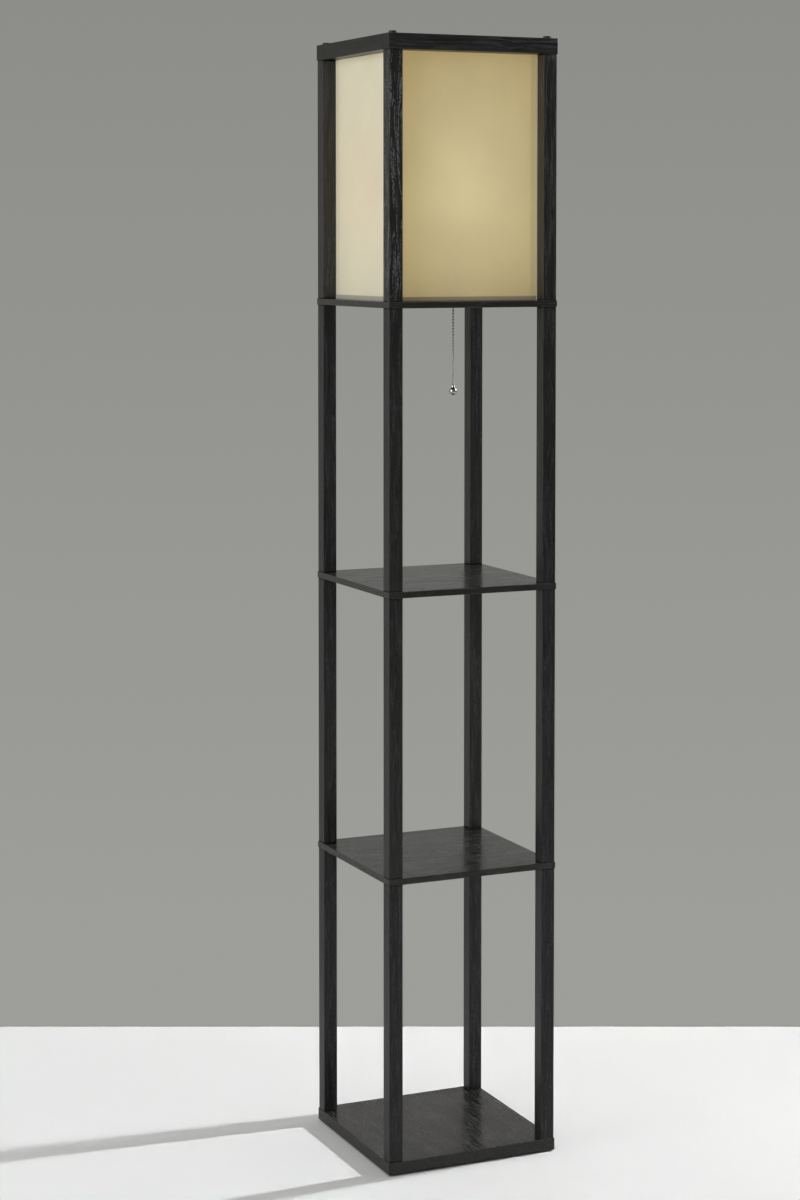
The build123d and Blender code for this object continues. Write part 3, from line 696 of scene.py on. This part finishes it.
live_low, live_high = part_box("screw_shell")
live_wall = 0.0006
live_outside = live_high.x
live_inside = live_outside - live_wall
live_floor = live_inside - 0.0015
bulb_pitch = 0.00363
bulb_thread = 0.00075
thread_foot = live_low.z + 0.003
thread_top = live_high.z - 0.002
live_shell = turned_piece("threaded_live_shell", [
    (live_floor, live_low.z),
    *levels_between(live_outside, live_low.z, live_high.z, count=60),
    *levels_between(live_inside, live_high.z, live_low.z + live_wall, count=60),
    (live_floor, live_low.z + live_wall), (live_floor, live_low.z),
], sides=48)
threaded(live_shell, live_inside, thread_foot, thread_top, bulb_pitch, -bulb_thread)
finish_mesh(live_shell, brass, crease=50)
stands_for(live_shell, "screw_shell", "frame")

# --- Bulb -------------------------------------------------------------------------------
# A frosted globe bulb, lit, in a thin aluminium cap with a rolled thread. A black glass
# button closes the cap round the tip contact.
bulb_cap_low, bulb_cap_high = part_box("bulb_cap")
cap_wall = 0.0004
cap_outside = bulb_cap_high.x
cap_inside = cap_outside - cap_wall
cap_taper = 0.0022
cap_hole = 0.0045
cap_floor = bulb_cap_low.z + cap_wall
cap_low = bulb_cap_low.z + cap_taper
cap_collar = 0.006
aluminium = plated("pressed_aluminium", (0.78, 0.78, 0.77), roughness=0.30)
bulb_cap = turned_piece("rolled_bulb_cap", [
    (cap_hole, bulb_cap_low.z), (cap_outside - cap_taper, bulb_cap_low.z),
    *levels_between(cap_outside, cap_low, bulb_cap_high.z, count=52),
    *levels_between(cap_inside, bulb_cap_high.z, cap_low + cap_wall, count=52),
    (cap_inside - cap_taper, cap_floor), (cap_hole, cap_floor), (cap_hole, bulb_cap_low.z),
], sides=48)
threaded(bulb_cap, cap_inside, cap_low, bulb_cap_high.z - cap_collar, bulb_pitch, bulb_thread)
finish_mesh(bulb_cap, aluminium, crease=50)
stands_for(bulb_cap, "bulb_cap", "bulb")
dress("bulb_insulator", plated("black_glass", (0.03, 0.025, 0.03), roughness=0.15, metal=0.0))
dress("bulb_contact", plated("tinned_contact", (0.60, 0.60, 0.58), roughness=0.35))

warm_white = (1.0, 0.80, 0.52)
glass, tree = part_material("frosted_glass")
level = add(tree, "SeparateXYZ", {0: on_piece(tree)}).outputs["Z"]
full_glow = globe_high.z - 0.03
foot_glow = 0.35
up_globe = between(tree, level, globe_low.z, full_glow, foot_glow, 1.0)
bright = add(tree, "VectorMath", {0: warm_white, "Scale": up_globe}, operation="SCALE")
shaded(tree, Base_Color=(0.30, 0.29, 0.26, 1), Roughness=0.35,
       Emission_Color=bright.outputs[0], Emission_Strength=0.72)

globe_radius = globe_high.x
globe_centre = globe_high.z - globe_radius
glass_wall = 0.0008
glass_neck = 0.0125
sweep_radius = 0.035
sweep_across = glass_neck + sweep_radius
sweep_down = math.sqrt((globe_radius + sweep_radius) ** 2 - sweep_across ** 2)
sweep_level = globe_centre - sweep_down
sweep_turn = math.degrees(math.atan2(sweep_down, sweep_across))


def glass_outline(inward):
    """One side of the glass from its foot to its crown, a wall's part inside the outer face."""
    sweep = arc(sweep_radius + inward, sweep_level, 180, 180 - sweep_turn, 12, sweep_across)
    crown = arc(globe_radius - inward, globe_centre, -sweep_turn, 89, 36)
    return [(glass_neck - inward, globe_low.z)] + sweep + crown[1:]


glass_rings = glass_outline(glass_wall)[::-1] + glass_outline(0.0)
globe = turned_piece("frosted_globe", glass_rings, sides=72)
finish_mesh(globe, glass, crease=50)
stands_for(globe, "bulb_globe", "bulb")

# The glass doesn't hold back the light inside it, which lights the inside of the shade.
globe.visible_shadow = False
filament = round_light("bulb_light", (0, 0, globe_centre), size=0.02, power=0.15)
filament.data.color = warm_white

# --- Pull chain -------------------------------------------------------------------------
# A nickel-plated bead chain hangs from the switch lever through a soft collar in the
# shelf. Hollow beads turn on dumb-bell links, and a polished ball ends it.
upper_low, upper_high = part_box("chain_upper")
drop_low, drop_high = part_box("chain_drop")
knuckle_low, knuckle_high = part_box("chain_knuckle")
ball_low, ball_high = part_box("pull_ball")
chain_axis = ((ball_low.x + ball_high.x) / 2, (ball_low.y + ball_high.y) / 2)
bead_radius = (knuckle_high.z - knuckle_low.z) / 2
bead_pitch = 0.0044
bead_wall = 0.0003
bead_hole = 0.0006
link_radius = 0.00045
link_head = 0.00068
head_turn = 80
head_from_middle = 0.0008
waist = math.sqrt(bead_radius ** 2 - link_radius ** 2)
nickel = plated("nickel_plate", (0.52, 0.505, 0.48), roughness=0.12, scale=2500.0, wear=0.05)


def hollow_bead(name, level):
    """A rolled bead: a thin shell whose edges turn in round its two holes."""
    hole_turn = math.degrees(math.acos(bead_hole / bead_radius))
    inside = bead_radius - bead_wall
    inner_turn = math.degrees(math.acos(bead_hole / inside))
    rings = arc(bead_radius, level, -hole_turn, hole_turn, 8)
    rings += arc(inside, level, inner_turn, -inner_turn, 5)
    bead = turned_piece(name, rings + rings[:1], sides=16, axis=chain_axis)
    finish_mesh(bead, nickel, crease=60)
    return bead


def dumb_bell(name, top, bottom, headless=""):
    """A wire link from one level to another, with a round head at each end or at one."""
    neck = math.degrees(math.acos(link_radius / link_head))
    upper = arc(link_head, top, head_turn, -neck, 4)
    lower = arc(link_head, bottom, neck, -head_turn, 4)
    if headless == "top":
        upper = [(link_radius / 2, top), (link_radius, top - link_radius / 2)]
    if headless == "bottom":
        lower = [(link_radius, bottom + link_radius / 2), (link_radius / 2, bottom)]
    wire = turned_piece(name, upper + lower, sides=10, axis=chain_axis)
    finish_mesh(wire, nickel, crease=60)
    return wire


def bead_row(name, top_level, count):
    """Beads at even steps down from a level, and a link from each to the next."""
    beads = [hollow_bead(name, top_level)]
    wire = dumb_bell(name + "_link", top_level - head_from_middle,
                     top_level - bead_pitch + head_from_middle)
    links = [wire]
    for place in range(1, count):
        beads.append(copied(beads[0], f"{name}_{place}", (0, 0, -bead_pitch * place)))
    for place in range(1, count - 1):
        links.append(copied(wire, f"{name}_link_{place}", (0, 0, -bead_pitch * place)))
    return beads + links


def joined(pieces):
    """One piece of several, under the first one's name."""
    pick(pieces)
    bpy.ops.object.join()
    return pieces[0]


upper_top = upper_high.z - waist
upper_count = 9
upper_row = bead_row("bead_chain_upper", upper_top, upper_count)
upper_end = upper_top - (upper_count - 1) * bead_pitch
upper_row.append(dumb_bell("bead_chain_upper_tail", upper_end - head_from_middle, upper_low.z,
                           headless="bottom"))
stands_for(joined(upper_row), "chain_upper", "pull_chain")

# The knuckle is a solid bead with a shallow hollow at each end, where a wire goes in.
knuckle_level = (knuckle_low.z + knuckle_high.z) / 2
closed_turn = 66
dimple_edge = waist - 0.0002
dimple_floor = waist - 0.0004
knuckle = turned_piece("bead_chain_knuckle", [
    (bead_hole / 2, knuckle_level - dimple_floor), (bead_hole, knuckle_level - dimple_edge),
    *arc(bead_radius, knuckle_level, -closed_turn, closed_turn, 12),
    (bead_hole, knuckle_level + dimple_edge), (bead_hole / 2, knuckle_level + dimple_floor),
], sides=24, axis=chain_axis)
finish_mesh(knuckle, nickel, crease=60)
stands_for(knuckle, "chain_knuckle", "chain_knuckle")

drop_count = 25
drop_end = drop_low.z + waist
drop_top = drop_end + (drop_count - 1) * bead_pitch
coupling_top = ball_high.z
tail_end = coupling_top - 0.0010
drop_row = bead_row("bead_chain_drop", drop_top, drop_count)
drop_row.append(dumb_bell("bead_chain_drop_lead", drop_high.z, drop_top + head_from_middle,
                          headless="top"))
drop_row.append(dumb_bell("bead_chain_drop_tail", drop_end - head_from_middle, tail_end))
stands_for(joined(drop_row), "chain_drop", "chain_drop")

# The ball is pressed from two halves. Its neck is the coupling that grips the last link.
ball_radius = 0.006
ball_level = ball_low.z + ball_radius
coupling_radius = 0.0023
coupling_mouth = 0.0008
coupling_lip = 0.0003
coupling_round = 0.0011
mouth_edge = coupling_top - 0.0018
mouth_floor = coupling_top - 0.0019
seam_depth = 0.00012
meet_turn = math.degrees(math.acos(coupling_radius / ball_radius))
meet_level = ball_level + ball_radius * math.sin(math.radians(meet_turn)) + 0.0002
polished = plated("polished_nickel", (0.80, 0.79, 0.76), roughness=0.05, wear=0.03)
ball = turned_piece("pull_ball_polished", [
    (coupling_mouth / 2, mouth_floor), (coupling_mouth, mouth_edge),
    (coupling_mouth, coupling_top - coupling_lip),
    *arc(coupling_lip, coupling_top - coupling_lip, 180, 90, 4, coupling_mouth + coupling_lip),
    *arc(coupling_round, coupling_top - coupling_round, 80, 0, 6,
         coupling_radius - coupling_round),
    (coupling_radius, meet_level),
    *arc(ball_radius, ball_level, meet_turn - 3, 1, 14),
    (ball_radius - seam_depth, ball_level),
    *arc(ball_radius, ball_level, -1, -88, 18),
], sides=48, axis=chain_axis)
finish_mesh(ball, polished, crease=45)
stands_for(ball, "pull_ball", "chain_drop")

collar_low, collar_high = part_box("chain_grommet")
shelf_low, shelf_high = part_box("lamp_shelf")
collar_bore = 0.0025
collar_neck = 0.0044
collar_flange = 0.0065
collar_lip = 0.0006
lip_low = collar_low.z + collar_lip
lip_high = collar_high.z - collar_lip
rubber = plated("soft_rubber", (0.02, 0.02, 0.02), roughness=0.6, metal=0.0)
collar = turned_piece("soft_collar", [
    *arc(collar_lip, lip_low, 180, 270, 4, collar_bore + collar_lip),
    *arc(collar_lip, lip_low, -90, 0, 4, collar_flange - collar_lip),
    (collar_flange, shelf_low.z), (collar_neck, shelf_low.z), (collar_neck, shelf_high.z),
    (collar_flange, shelf_high.z),
    *arc(collar_lip, lip_high, 0, 90, 4, collar_flange - collar_lip),
    *arc(collar_lip, lip_high, 90, 180, 4, collar_bore + collar_lip),
    (collar_bore, lip_low),
], sides=40, axis=chain_axis)
finish_mesh(collar, rubber, crease=40)
stands_for(collar, "chain_grommet", "frame")

# --- Colours as they are ----------------------------------------------------------------
# The colours are shown as they are written.
bpy.context.scene.view_settings.view_transform = "Standard"
